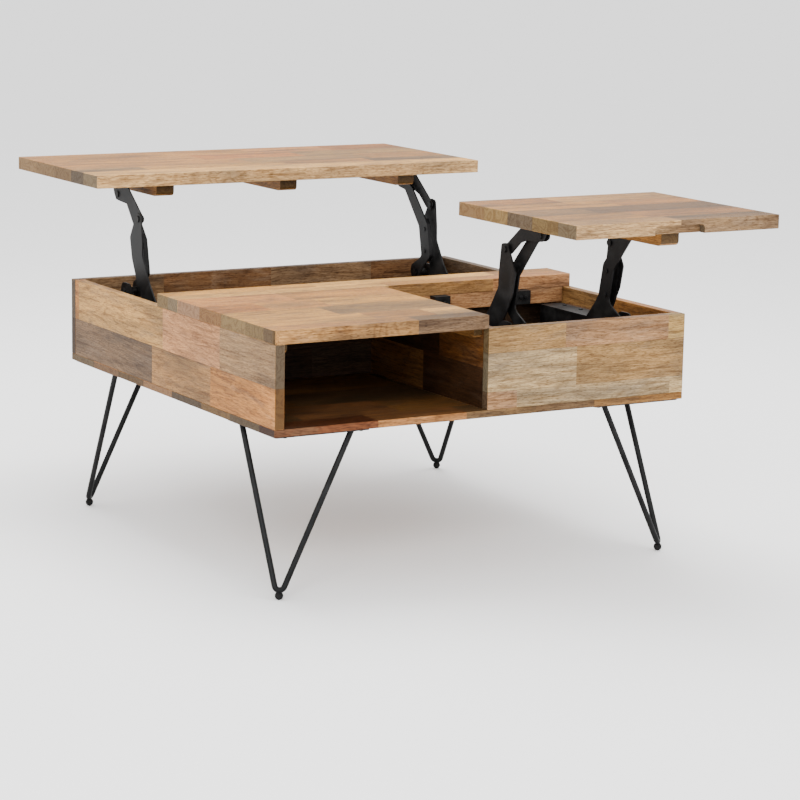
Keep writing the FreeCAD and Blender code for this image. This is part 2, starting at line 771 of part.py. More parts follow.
def leading_arm(lid, side):
    """Broad arm with its rear edge folded towards the trailing arm and two rivets in its face."""
    way = hand(lid, side)
    label = f"{lid}_{side}_leading_arm"
    body = plate_body(label, way, "leading_start", "arm_plate", [
        *LEADING_REAR_EDGE,
        (104, 672, 8),
        (127, 669, 10),
        (131, 652, 8),
        (118, 645, 8),
        (92, 641, 12),
        (36, 575, 8),
        (29, 567, 8),
        (16, 503, 10),
        (26, 494, 8),
        (58, 477, 10),
        (61, 462, 10),
        (52, 446, 8),
        (28, 446, 8),
    ])
    # the fold follows the rear outline, one plate thickness deep
    far = size("leading_start") + size("arm_plate")
    fold = new_sketch(body, label + "_fold_outline", "YZ_Plane", across(
        way, size("leading_flange_start"), far - size("leading_flange_start"),
    ))
    before, *folded, after = LEADING_REAR_EDGE[1:6]
    outer = [halfway(before, folded[0]), *folded, halfway(folded[-1], after)]
    inner = [(travel + size("arm_plate"), height, radius) for travel, height, radius in outer]
    draw_outline(fold, [*outer, *reversed(inner)])
    pad(body, fold, label + "_fold",
        f"{cell('leading_start')} + {cell('arm_plate')} - {cell('leading_flange_start')}")
    rivets = new_sketch(body, label + "_rivets", "YZ_Plane", across(way, far, size("rivet_height")))
    draw_circles(rivets, RIVETS, size("rivet_radius"))
    pad(body, rivets, label + "_rivet_heads", cell("rivet_height"))
    for centre in (LEADING_BASE, LEADING_TOP):
        pivot_hole(body, way, centre, "leading_start", "arm_plate",
                   size("pin_radius") + size("running_gap"))
    finish_lift_plate(body, lid, side, label)


def lid_bracket(lid, side):
    """Angle bracket under the lid with an ear that reaches down to both top pivots."""
    way = hand(lid, side)
    label = f"{lid}_{side}_lid_bracket"
    trailing_s, trailing_z = TRAILING_TOP
    body = plate_body(label, way, "ear_start", "steel_plate", [
        (trailing_s - 14, trailing_z + 1, 9),
        (trailing_s + 1, trailing_z - 14, 8),
        (trailing_s + 16, trailing_z - 7, 12),
        (46, 634, 10),
        (66, 641, 10),
        (100, 643, 8),
        (122, 645, 8),
        (131, 657, 7),
        (137, 672, 5),
        (225, 676, 5),
        (236, LID_LOW, 0),
        (76, LID_LOW, 0),
    ])
    end = size("ear_start") + size("steel_plate")
    add_flange(body, way, size("lid_flange_start"), end, LID_LOW - size("steel_plate"),
               size("flange_rear"), size("flange_front"), cell("steel_plate"))
    for centre in (TRAILING_TOP, LEADING_TOP):
        pivot_hole(body, way, centre, "ear_start", "steel_plate",
                   size("pin_radius") + size("running_gap"))
    centres = [(way * LID_SCREW_LINE, travel) for travel in LID_SCREWS]
    drill(body, "XY_Plane", LID_LOW - size("steel_plate"), centres, SCREW_HOLE,
          cell("steel_plate"), True)
    finish_lift_plate(body, lid, side, label)


def stepped_pin(centre, steps):
    """A pin built of (start, end, radius) steps, distances measured from the wall."""
    travel, height = centre
    solids = [
        bar(radius, Vector(start, travel, height), Vector(end, travel, height))
        for start, end, radius in steps
    ]
    return solids[0].multiFuse(solids[1:]).removeSplitter() if len(solids) > 1 else solids[0]


def on_table(shape, lid, side):
    """Moves a shape drawn in a lift's frame to its place, mirrored where needed."""
    placed = shape.copy()
    if hand(lid, side) < 0:
        placed = placed.mirror(Vector(0, 0, 0), Vector(1, 0, 0))
    placed.transformShape(lift_frame(lid, side).toMatrix())
    return placed


def base_pin_shapes():
    """Fixed pins of one base bracket: the leading arm's pivot and the spring anchor."""
    web = size("web_start")
    face = web + size("steel_plate")
    arm = size("leading_start")
    far = arm + size("arm_plate") + size("side_play")
    head = size("head_height")
    pivot = stepped_pin(LEADING_BASE, (
        (web - head, web, size("pin_head")),
        (web, far, size("pin_radius")),
        (face, arm - size("side_play"), size("pin_head")),
        (far, far + head, size("pin_head")),
    ))
    spring_line = size("rod_plate_start") + size("rod_plate") / 2
    anchor = stepped_pin((-size("spring_anchor"), SPRING_LEVEL), (
        (spring_line - size("spring_radius"), face, size("pin_radius")),
        (spring_line + size("spring_radius"), web, size("pin_head")),
        (face, face + head, size("pin_head")),
    ))
    return [pivot, anchor]


def lid_pin_shapes():
    """Pins fixed in one lid bracket, one for each arm."""
    ear = size("ear_start")
    ear_face = ear + size("steel_plate")
    trailing = size("trailing_start")
    head = size("head_height")
    play = size("side_play")
    arm = size("leading_start")
    far = arm + size("arm_plate") + play
    trailing_pin = stepped_pin(TRAILING_TOP, (
        (ear_face, ear_face + head, size("pin_head")),
        (trailing - play, ear_face, size("pin_radius")),
        (trailing + size("arm_plate") + play, ear, size("pin_head")),
        (trailing - play - head, trailing - play, size("pin_head")),
    ))
    leading_pin = stepped_pin(LEADING_TOP, (
        (ear - head, ear, size("pin_head")),
        (ear, far, size("pin_radius")),
        (ear_face, arm - play, size("pin_head")),
        (far, far + head, size("pin_head")),
    ))
    return [trailing_pin, leading_pin]


# a round end keeps this much straight edge between its two corners
ROUND_END = 0.1


def crank_shape():
    """Shaft keyed to the trailing arm, with the crank and its pin behind the web."""
    start = size("crank_start")
    trailing = size("trailing_start")
    inner = trailing + size("arm_plate")
    shaft = stepped_pin(TRAILING_BASE, (
        (start, inner, size("shaft_radius")),
        (size("web_start") + size("steel_plate") + size("side_play"), trailing, size("hub_radius")),
        (inner, inner + size("head_height"), size("hub_radius")),
    ))
    throw = math.hypot(CRANK_PIN[0] - TRAILING_BASE[0], CRANK_PIN[1] - TRAILING_BASE[1])
    edge = size("crank_edge")
    cheek = prism([
        (-edge, -edge, edge - ROUND_END),
        (throw + edge, -edge, edge - ROUND_END),
        (throw + edge, edge, edge - ROUND_END),
        (-edge, edge, edge - ROUND_END),
    ], size("crank_plate"))
    swing = Rotation(Vector(1, 0, 0), math.degrees(CRANK_OPEN))
    lay = Rotation(Vector(0, 1, 0), Vector(0, 0, 1), Vector(1, 0, 0), "ZXY")
    cheek.Placement = Placement(Vector(start, *TRAILING_BASE), swing.multiply(lay))
    rod = size("rod_plate_start")
    pin = stepped_pin(CRANK_PIN, (
        (rod - size("side_play"), start, size("pin_radius")),
        (rod - size("side_play") - size("head_height"), rod - size("side_play"), size("pin_head")),
    ))
    return shaft.multiFuse([cheek, pin]).removeSplitter()


def slot_shape(half_width, half_height, start, thickness):
    """An upright slot with round ends about the crank pin's line."""
    rear = CRANK_PIN[0] - half_width
    front = CRANK_PIN[0] + half_width
    low = SPRING_LEVEL - half_height
    high = SPRING_LEVEL + half_height
    corners = ((rear, low), (front, low), (front, high), (rear, high))
    outline = [(travel, height, half_width - ROUND_END) for travel, height in corners]
    return upright(outline, start, thickness)


def pull_rod_shape():
    """Slotted eye round the crank pin, drawn out to a rod that hooks into the spring."""
    start = size("rod_plate_start")
    thickness = size("rod_plate")
    half_slot = size("pin_radius") + size("slot_play")
    lift = CRANK_PIN[1] - SPRING_LEVEL + half_slot
    wall = size("eye_wall")
    eye = slot_shape(half_slot + wall, lift + wall, start, thickness)
    slot = slot_shape(half_slot, lift, start - OVERCUT, thickness + 2 * OVERCUT)
    middle = start + thickness / 2
    rod = bar(
        size("spring_wire"), Vector(middle, CRANK_PIN[0] - half_slot - OVERCUT, SPRING_LEVEL),
        Vector(middle, -size("spring_front") - size("spring_radius"), SPRING_LEVEL),
    )
    return eye.cut(slot).fuse(rod).removeSplitter()


def spring_shape():
    """Envelope of the extension spring between the anchor and the pull rod."""
    middle = size("rod_plate_start") + size("rod_plate") / 2
    rear = -size("spring_anchor") + size("pin_radius")
    start = Vector(middle, rear, SPRING_LEVEL)
    end = Vector(middle, -size("spring_front"), SPRING_LEVEL)
    beyond = Vector(0, OVERCUT, 0)
    bore = bar(size("spring_radius") - size("spring_wire"), start - beyond, end + beyond)
    return bar(size("spring_radius"), start, end).cut(bore)


def bracket_screw_seats(lid, side):
    spots = [Vector(hand(lid, side) * BRACKET_SCREW_LINE, travel, BRACKET_TOP) for travel in BRACKET_SCREWS]
    return [lift_frame(lid, side).multVec(spot) for spot in spots]


def lid_screw_seats(lid, side):
    level = LID_LOW - size("steel_plate")
    spots = [Vector(hand(lid, side) * LID_SCREW_LINE, travel, level) for travel in LID_SCREWS]
    return [lift_frame(lid, side).multVec(spot) for spot in spots]


def ledge_shape():
    """Wooden ledge on the wall under one base bracket."""
    low = BLOCK_TOP - size("block_height")
    ledge = box_between(
        (0, -size("bracket_back"), low), (size("block_width"), size("bracket_front"), BLOCK_TOP),
    )
    for travel in BRACKET_SCREWS:
        seat = Vector(BRACKET_SCREW_LINE, travel, BLOCK_TOP)
        ledge = ledge.cut(bar(SCREW_HOLE, seat, seat - UP * size("screw_length")))
    return ledge


def lifts():
    for lid in ("small", "large"):
        for side in SIDES:
            base_bracket(lid, side)
            trailing_arm(lid, side)
            leading_arm(lid, side)
            lid_bracket(lid, side)
        group(f"{lid}_lid_pivot_pins", [
            on_table(pin, lid, side) for side in SIDES for pin in lid_pin_shapes()
        ])
        group(f"{lid}_crank_shafts", [on_table(crank_shape(), lid, side) for side in SIDES])
        group(f"{lid}_pull_rods", [on_table(pull_rod_shape(), lid, side) for side in SIDES])
        group(f"{lid}_springs", [on_table(spring_shape(), lid, side) for side in SIDES])
        group(f"{lid}_lid_screws", [
            pan_screw(seat, UP) for side in SIDES for seat in lid_screw_seats(lid, side)
        ])
    everywhere = [(lid, side) for lid in ("small", "large") for side in SIDES]
    group("lift_ledges", [on_table(ledge_shape(), lid, side) for lid, side in everywhere])
    group("base_pivot_pins", [
        on_table(pin, lid, side) for lid, side in everywhere for pin in base_pin_shapes()
    ])
    group("bracket_screws", [
        pan_screw(seat, -UP) for lid, side in everywhere for seat in bracket_screw_seats(lid, side)
    ] + lid_rest_screws())


def check_and_write():
    """Every sub-part has to be sound before any file is written."""
    document.recompute()
    for feature in document.Objects:
        if "Invalid" in feature.State or "Error" in feature.State:
            raise RuntimeError(f"{feature.Label}: {feature.State}")
    for feature in SUBPARTS:
        if feature.Shape.isNull() or not feature.Shape.isValid():
            raise RuntimeError(feature.Label + " has no sound shape")
    os.makedirs("parts", exist_ok=True)
    for feature in SUBPARTS:
        feature.Shape.exportStep(f"parts/{feature.Label}.step")
    print(len(SUBPARTS), "sub-parts written")


bottom_board()
box_walls()
cubby_divider()
rail()
fixed_top()
cubby_cleats()
small_lid()
large_lid()
lid_battens()
legs()
lid_rests()
lifts()
check_and_write()
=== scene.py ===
"""Looks of the lift-top coffee table: glued staves of mixed wood and black powder-coated steel."""

import json
import math

import bmesh
import bpy
from mathutils import Matrix, Vector


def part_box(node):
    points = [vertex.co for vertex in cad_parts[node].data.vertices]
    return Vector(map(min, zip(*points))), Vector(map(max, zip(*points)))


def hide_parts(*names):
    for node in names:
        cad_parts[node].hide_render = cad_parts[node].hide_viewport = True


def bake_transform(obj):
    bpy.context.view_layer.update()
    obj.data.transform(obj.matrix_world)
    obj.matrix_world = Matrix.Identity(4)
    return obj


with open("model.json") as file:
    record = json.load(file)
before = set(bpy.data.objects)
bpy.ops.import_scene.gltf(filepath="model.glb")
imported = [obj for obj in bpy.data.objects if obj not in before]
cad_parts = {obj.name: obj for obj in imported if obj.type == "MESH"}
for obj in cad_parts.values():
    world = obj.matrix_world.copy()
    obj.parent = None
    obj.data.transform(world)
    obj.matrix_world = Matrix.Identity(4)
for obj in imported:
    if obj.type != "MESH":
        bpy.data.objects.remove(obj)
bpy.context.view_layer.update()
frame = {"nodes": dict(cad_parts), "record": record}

NODES = frame["nodes"]
AXIS = {"x": 0, "y": 1, "z": 2}


# ---- node helpers

class Builder:
    """Adds nodes to one material, a line each."""

    def __init__(self, name):
        self.material = bpy.data.materials.new(name)
        self.material.use_nodes = True
        self.tree = self.material.node_tree
        self.shader = self.tree.nodes["Principled BSDF"]

    def feed(self, socket, source):
        """Links a socket to another socket, or sets it to a value."""
        if isinstance(source, bpy.types.NodeSocket):
            self.tree.links.new(source, socket)
        else:
            socket.default_value = source

    def node(self, kind, inputs=None, **settings):
        made = self.tree.nodes.new("ShaderNode" + kind)
        for key, value in settings.items():
            setattr(made, key, value)
        for key, source in (inputs or {}).items():
            self.feed(made.inputs[key], source)
        return made

    def object_place(self):
        return self.node("TexCoord").outputs["Object"]

    def math(self, operation, first, second=0.0):
        return self.node("Math", {0: first, 1: second}, operation=operation).outputs[0]

    def mix(self, factor, first, second, blend="MIX"):
        """Mixes two colours, which are the Mix node's inputs 6 and 7 and its output 2."""
        inputs = {0: factor, 6: first, 7: second}
        return self.node("Mix", inputs, data_type="RGBA", blend_type=blend).outputs[2]

    def blend(self, factor, first, second):
        """Mixes two numbers, which are the Mix node's inputs 2 and 3 and its output 0."""
        inputs = {0: factor, 2: first, 3: second}
        return self.node("Mix", inputs, data_type="FLOAT").outputs[0]

    def tinted(self, colour, tint):
        """A colour multiplied by a tint's red, green and blue."""
        return self.mix(1.0, colour, (*tint, 1.0), "MULTIPLY")

    def fit(self, value, low, high, to_low=0.0, to_high=1.0):
        inputs = {0: value, 1: low, 2: high, 3: to_low, 4: to_high}
        return self.node("MapRange", inputs, clamp=True).outputs[0]

    def vector(self, x, y, z):
        return self.node("CombineXYZ", {0: x, 1: y, 2: z}).outputs[0]

    def noise(self, vector, scale, detail, roughness=0.5, distortion=0.0):
        made = self.node("TexNoise", {
            "Vector": vector, "Scale": scale, "Detail": detail,
            "Roughness": roughness, "Distortion": distortion,
        })
        return made.outputs["Fac"]

    def drawn_out(self, vector, along, across):
        """The place scaled along the grain and across it: bigger numbers give finer figure."""
        return self.node("Mapping", {"Vector": vector, "Scale": (along, across, across)}).outputs[0]

    def grain_noise(self, vector, stretch, detail, roughness=0.5, distortion=0.0):
        return self.noise(self.drawn_out(vector, *stretch), 1.0, detail, roughness, distortion)

    def surface(self, colour, roughness, specular=0.5, metallic=0.0):
        self.feed(self.shader.inputs["Base Color"], colour)
        self.feed(self.shader.inputs["Roughness"], roughness)
        self.feed(self.shader.inputs["Specular IOR Level"], specular)
        self.feed(self.shader.inputs["Metallic"], metallic)

    def bump(self, height, strength, distance):
        made = self.node("Bump", {"Height": height, "Strength": strength, "Distance": distance})
        self.feed(self.shader.inputs["Normal"], made.outputs[0])


# ---- staves of wood

NO_TINT = (1.0, 1.0, 1.0)
# painted light: tints for faces that look up only, making a board's top warmer and deeper than its sides, as
# if lit differently; the small lid's top gets a darker one
TOP_PAINTED_LIGHT = (0.95, 0.82, 0.45)
SMALL_LID_TOP_PAINTED_LIGHT = (0.70, 0.58, 0.34)
WALL_TINT = (1.20, 1.30, 1.62)

TONES = {
    "cream": (0.450, 0.290, 0.120),
    "pale": (0.370, 0.240, 0.105),
    "yellow": (0.350, 0.205, 0.062),
    "tan": (0.270, 0.148, 0.050),
    "pink": (0.320, 0.165, 0.068),
    "orange": (0.290, 0.130, 0.033),
    "grey": (0.110, 0.070, 0.037),
    "ash": (0.190, 0.122, 0.058),
    "brown": (0.085, 0.044, 0.019),
    "red": (0.120, 0.046, 0.020),
}

# how fine each part of the figure is, along the grain and across it
STRETCH = {
    "growth": (3.0, 16.0),
    "rings": (1.5, 10.0),
    "fibres": (30, 620),
    "streaks": (9, 120),
    "pores": (110, 800),
    "spalting": (7, 20),
    "knots": (4.2, 9.0),
    "end rings": (2.0, 26.0),
    "end pores": (700, 700),
}

# what each part of the figure multiplies the colour under it by
SHADE = {
    "warm growth": (1.38, 1.22, 0.98),
    "cool growth": (0.56, 0.53, 0.52),
    "ring": (0.50, 0.42, 0.36),
    "light fibre": (1.32, 1.29, 1.25),
    "dark fibre": (0.62, 0.58, 0.54),
    "streak": (0.58, 0.52, 0.47),
    "pore": (0.48, 0.42, 0.36),
    "end ring": (0.74, 0.68, 0.64),
    "end pore": (0.6, 0.55, 0.5),
    "seam": (0.5, 0.42, 0.36),
}

# how much of each part of the figure shows
STRENGTH = {"spalting": 0.55, "greying": 0.55, "ring": 0.42, "pore": 0.75, "knot": 0.75, "seam": 0.6}

# how far fibres stand out of the surface, and pores and seams sink into it, beside one another
RELIEF = {"fibre": 0.5, "pore": 0.9, "seam": 1.2}

SPALTED_GREY = (0.14, 0.105, 0.072, 1.0)
KNOT_BROWN = (0.12, 0.06, 0.035, 1.0)

# radians of ring that the noise runs through as it goes from 0 to 1
RING_PHASE = 130.0
END_RING_PHASE = 60.0

# a glue line is full to its first distance from the joint and gone at its second, in metres
SEAM_EDGES = (0.0002, 0.0007)

# each stave's own number, its mark, is between 0 and 1: steps that keep neighbours apart
MARK_PER_STAVE = 0.37
MARK_PER_ROW = 0.23
MARK_LOW = 0.05
MARK_SPREAD = 0.9

# where in the log a stave is read from, in metres: a start, and how far its mark moves it each way
SHIFT_START = 0.5
SHIFT_ALONG = 7.31
SHIFT_ACROSS = 3.7

# a face's normal points along an axis when its part on that axis is over this
FACING = 0.8


def stave_ramp(build, way_along, staves, row_number):
    """One row of staves: colour by tone, and a number for each stave in alpha."""
    stops = []
    reached = 0.0
    total = sum(share for share, tone in staves)
    for number, (share, tone) in enumerate(staves):
        spread = (number * MARK_PER_STAVE + row_number * MARK_PER_ROW) % 1.0
        stops.append((reached / total, (*TONES[tone], spread * MARK_SPREAD + MARK_LOW)))
        reached += share
    made = build.node("ValToRGB", {0: way_along})
    made.color_ramp.interpolation = "CONSTANT"
    elements = made.color_ramp.elements
    elements.remove(elements[-1])
    elements[0].position, elements[0].color = stops[0]
    for place, colour in stops[1:]:
        elements.new(place).color = colour
    return made.outputs["Color"], made.outputs["Alpha"]


def glued_rows(build, way_along, over, edge, width, rows):
    """Rows side by side: their colour, each stave's number, and the glue lines where there are any."""
    total = sum(share for share, staves in rows)
    reached, first_staves = rows[0]
    colour, mark = stave_ramp(build, way_along, first_staves, 0)
    seam = None
    for number, (share, staves) in enumerate(rows[1:], start=1):
        boundary = edge + width * reached / total
        beyond = build.math("GREATER_THAN", over, boundary)
        row_colour, row_mark = stave_ramp(build, way_along, staves, number)
        colour = build.mix(beyond, colour, row_colour)
        mark = build.blend(beyond, mark, row_mark)
        gap = build.math("ABSOLUTE", build.math("SUBTRACT", over, boundary))
        line = build.fit(gap, *SEAM_EDGES, to_low=1.0, to_high=0.0)
        seam = line if seam is None else build.math("MAXIMUM", seam, line)
        reached += share
    return colour, mark, seam


def place_in_log(build, along, over, depth, mark, seed):
    """Every stave reads the figure from a different place in the log."""
    inputs = {0: mark, 1: SHIFT_ALONG, 2: SHIFT_START}
    shift = build.node("Math", inputs, operation="MULTIPLY_ADD").outputs[0]
    shift_over = build.math("MULTIPLY", mark, SHIFT_ACROSS)
    return build.vector(
        build.math("ADD", along, build.math("ADD", shift, seed)),
        build.math("ADD", over, shift_over),
        build.math("ADD", depth, shift_over),
    )


def grown(build, log, colour):
    """Spalted patches, warm and cool growth, and rings."""
    patches = build.grain_noise(log, STRETCH["spalting"], detail=4.0, roughness=0.65, distortion=0.9)
    spalting = build.fit(patches, low=0.53, high=0.63)
    greyed = build.mix(STRENGTH["greying"], colour, SPALTED_GREY)
    colour = build.mix(build.math("MULTIPLY", spalting, STRENGTH["spalting"]), colour, greyed)

    growth = build.grain_noise(log, STRETCH["growth"], detail=3.0, roughness=0.55, distortion=0.6)
    warm = build.tinted(colour, SHADE["warm growth"])
    cool = build.tinted(colour, SHADE["cool growth"])
    colour = build.mix(build.fit(growth, low=0.3, high=0.7), cool, warm)

    swirl = build.grain_noise(log, STRETCH["rings"], detail=3.0, roughness=0.5, distortion=1.2)
    bands = build.math("SINE", build.math("MULTIPLY", swirl, RING_PHASE))
    ring = build.math("MULTIPLY", build.fit(bands, low=0.1, high=1.0), STRENGTH["ring"])
    return build.mix(ring, colour, build.tinted(colour, SHADE["ring"]))


def fibrous(build, log, colour, fibres, pore):
    """Fibres, darker streaks and open pores."""
    light = build.tinted(colour, SHADE["light fibre"])
    dark = build.tinted(colour, SHADE["dark fibre"])
    colour = build.mix(build.fit(fibres, low=0.3, high=0.7), dark, light)
    streaks = build.grain_noise(log, STRETCH["streaks"], detail=3.0, roughness=0.6, distortion=0.4)
    streaked = build.tinted(colour, SHADE["streak"])
    colour = build.mix(build.fit(streaks, low=0.5, high=0.68), colour, streaked)
    open_pores = build.math("MULTIPLY", pore, STRENGTH["pore"])
    return build.mix(open_pores, colour, build.tinted(colour, SHADE["pore"]))


def knotted(build, log, colour):
    """Small dark knots, far apart."""
    place = build.drawn_out(log, *STRETCH["knots"])
    knots = build.node("TexVoronoi", {"Vector": place, "Scale": 1.0, "Randomness": 1.0})
    spot = build.fit(knots.outputs["Distance"], low=0.035, high=0.085, to_low=1.0, to_high=0.0)
    return build.mix(build.math("MULTIPLY", spot, STRENGTH["knot"]), colour, KNOT_BROWN)


def end_grain(build, log, colour, mark):
    """End grain: darker, with arcs and open pores."""
    tone = build.fit(mark, low=0.1, high=0.9, to_low=0.26, to_high=0.62)
    colour = build.mix(1.0, colour, build.vector(tone, tone, tone), "MULTIPLY")
    swirl = build.grain_noise(log, STRETCH["end rings"], detail=1.0, roughness=0.4, distortion=0.4)
    arcs = build.math("SINE", build.math("MULTIPLY", swirl, END_RING_PHASE))
    ringed = build.tinted(colour, SHADE["end ring"])
    colour = build.mix(build.fit(arcs, low=0.0, high=1.0), colour, ringed)
    dots = build.grain_noise(log, STRETCH["end pores"], detail=2.0, roughness=0.6)
    return build.mix(build.fit(dots, low=0.5, high=0.66), colour, build.tinted(colour, SHADE["end pore"]))


def wood(node, name, grain, across, rows, seed, tint=NO_TINT, upward_painted_light=None):
    """Staves glued side by side: grain and across are axis letters; rows run from low to high across,
    each (width share, [(length share, tone), ...]). The upward tint is painted light and shade: it goes only
    on faces that look up."""
    build = Builder(name)
    low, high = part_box(node)
    coordinates = build.node("TexCoord")
    place = build.node("SeparateXYZ", {0: coordinates.outputs["Object"]})
    facing = build.node("SeparateXYZ", {0: coordinates.outputs["Normal"]})
    third_letter = next(letter for letter in "xyz" if letter not in (grain, across))
    along = place.outputs[AXIS[grain]]
    over = place.outputs[AXIS[across]]
    depth = place.outputs[AXIS[third_letter]]

    start = low[AXIS[grain]]
    length = high[AXIS[grain]] - start
    edge = low[AXIS[across]]
    width = high[AXIS[across]] - edge
    way_along = build.math("DIVIDE", build.math("SUBTRACT", along, start), length)
    stave_colour, mark, seam = glued_rows(build, way_along, over, edge, width, rows)
    log = place_in_log(build, along, over, depth, mark, seed)

    fibres = build.grain_noise(log, STRETCH["fibres"], detail=3.0, roughness=0.6)
    pore = build.fit(build.grain_noise(log, STRETCH["pores"], detail=1.0), low=0.54, high=0.62)
    colour = grown(build, log, stave_colour)
    colour = fibrous(build, log, colour, fibres, pore)
    colour = knotted(build, log, colour)
    towards_end = build.math("ABSOLUTE", facing.outputs[AXIS[grain]])
    is_end = build.math("GREATER_THAN", towards_end, FACING)
    colour = build.mix(is_end, colour, end_grain(build, log, stave_colour, mark))

    raised = build.math("MULTIPLY", fibres, RELIEF["fibre"])
    height = build.math("SUBTRACT", raised, build.math("MULTIPLY", pore, RELIEF["pore"]))
    if seam is not None:
        glue = build.math("MULTIPLY", seam, STRENGTH["seam"])
        colour = build.mix(glue, colour, build.tinted(colour, SHADE["seam"]))
        height = build.math("SUBTRACT", height, build.math("MULTIPLY", seam, RELIEF["seam"]))
    colour = build.tinted(colour, tint)
    # painted light and shade: faces that look up get their own tint, lighter or darker than the sides of the
    # same board
    if upward_painted_light:
        painted_light_faces = build.math("GREATER_THAN", facing.outputs[AXIS["z"]], FACING)
        colour = build.mix(painted_light_faces, colour, build.tinted(colour, upward_painted_light))

    roughness = build.fit(fibres, low=0.25, high=0.75, to_low=0.44, to_high=0.62)
    build.surface(colour, roughness, specular=0.12)
    build.bump(height, strength=0.35, distance=0.0004)
    return build.material


# ---- steel and rubber

def powder_coat():
    """Satin black powder coat: orange-peel bump, faintly rubbed along its edges."""
    build = Builder("black_powder_coat")
    place = build.object_place()
    peel = build.noise(place, scale=900.0, detail=2.0)
    rub = build.noise(place, scale=28.0, detail=5.0, roughness=0.7)
    edge = build.node("NewGeometry").outputs["Pointiness"]
    on_edge = build.fit(edge, low=0.52, high=0.6)
    worn = build.math("MULTIPLY", on_edge, build.fit(rub, low=0.45, high=0.65))
    black = (0.0020, 0.0020, 0.0022, 1.0)
    faded = (0.0050, 0.0050, 0.0055, 1.0)
    bare = (0.030, 0.029, 0.028, 1.0)
    base = build.mix(build.fit(rub, low=0.35, high=0.7), black, faded)
    colour = build.mix(build.math("MULTIPLY", worn, 0.4), base, bare)
    roughness = build.fit(rub, low=0.3, high=0.7, to_low=0.40, to_high=0.56)
    build.surface(colour, roughness, specular=0.14)
    build.bump(peel, strength=0.25, distance=0.0002)
    return build.material


def zinc_wire():
    """Drawn spring wire with fine scratches and a dull film."""
    build = Builder("zinc_wire")
    place = build.object_place()
    film = build.noise(place, scale=60.0, detail=4.0, roughness=0.6)
    scratches = build.grain_noise(place, stretch=(30, 900), detail=2.0)
    dull = (0.34, 0.34, 0.35, 1.0)
    bright = (0.52, 0.52, 0.53, 1.0)
    colour = build.mix(build.fit(film, low=0.35, high=0.65), dull, bright)
    roughness = build.fit(scratches, low=0.3, high=0.7, to_low=0.32, to_high=0.52)
    build.surface(colour, roughness, metallic=1.0)
    build.bump(scratches, strength=0.2, distance=0.0001)
    return build.material


def black_rubber():
    """Matt moulded rubber with a little dust."""
    build = Builder("black_rubber")
    place = build.object_place()
    grain = build.noise(place, scale=1200.0, detail=2.0, roughness=0.6)
    dust = build.noise(place, scale=90.0, detail=4.0, roughness=0.7)
    clean = (0.004, 0.004, 0.004, 1.0)
    dusty = (0.012, 0.0115, 0.011, 1.0)
    colour = build.mix(build.fit(dust, low=0.4, high=0.7), clean, dusty)
    roughness = build.fit(grain, low=0.3, high=0.7, to_low=0.66, to_high=0.86)
    build.surface(colour, roughness, specular=0.14)
    build.bump(grain, strength=0.3, distance=0.0002)
    return build.material


# ---- which piece gets which look

